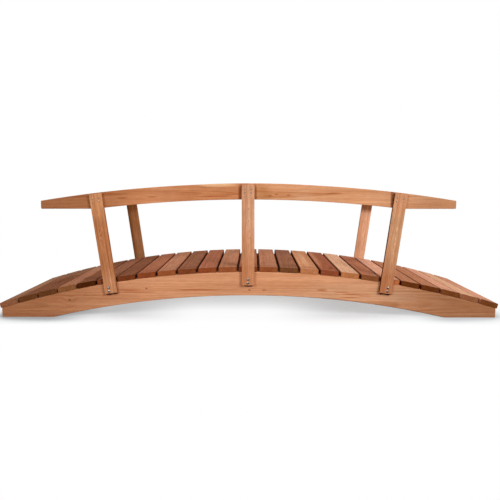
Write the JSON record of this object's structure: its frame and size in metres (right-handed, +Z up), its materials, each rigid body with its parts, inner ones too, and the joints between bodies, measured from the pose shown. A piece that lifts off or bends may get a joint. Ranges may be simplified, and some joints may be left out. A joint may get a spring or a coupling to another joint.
{
  "type": "low arched garden footbridge",
  "caption": "Low arched softwood garden footbridge: sawn stringers, cross-laid deck boards, leaning posts and curved handrails.",
  "frame": {"origin": "on the ground under the middle of the deck, half way between the stringers", "axes": "+X along the span, +Y across it from the front side to the back, +Z up"},
  "size_m": [2.462, 0.758, 0.6565],
  "materials": {
    "deck": "oiled, planed",
    "stringer": "oiled, planed",
    "post": "oiled, planed",
    "rail": "oiled, planed",
    "screw_steel": "zinc plated"
  },
  "bodies": {
    "root": {"deck_board_01": "deck", "deck_board_02": "deck", "deck_board_03": "deck", "deck_board_04": "deck", "deck_board_05": "deck", "deck_board_06": "deck", "deck_board_07": "deck", "deck_board_08": "deck", "deck_board_09": "deck", "deck_board_10": "deck", "deck_board_11": "deck", "deck_board_12": "deck", "deck_board_13": "deck", "deck_board_14": "deck", "deck_board_15": "deck", "deck_board_16": "deck", "deck_board_17": "deck", "deck_board_18": "deck", "deck_board_19": "deck", "deck_board_20": "deck", "deck_board_21": "deck", "deck_board_22": "deck", "deck_board_23": "deck", "deck_board_24": "deck", "deck_board_25": "deck", "stringer_front": "stringer", "post_front_left": "post", "post_front_middle": "post", "post_front_right": "post", "rail_front_left": "rail", "rail_front_right": "rail", "stringer_back": "stringer", "post_back_left": "post", "post_back_middle": "post", "post_back_right": "post", "rail_back_left": "rail", "rail_back_right": "rail"}
  },
  "joints": []
}
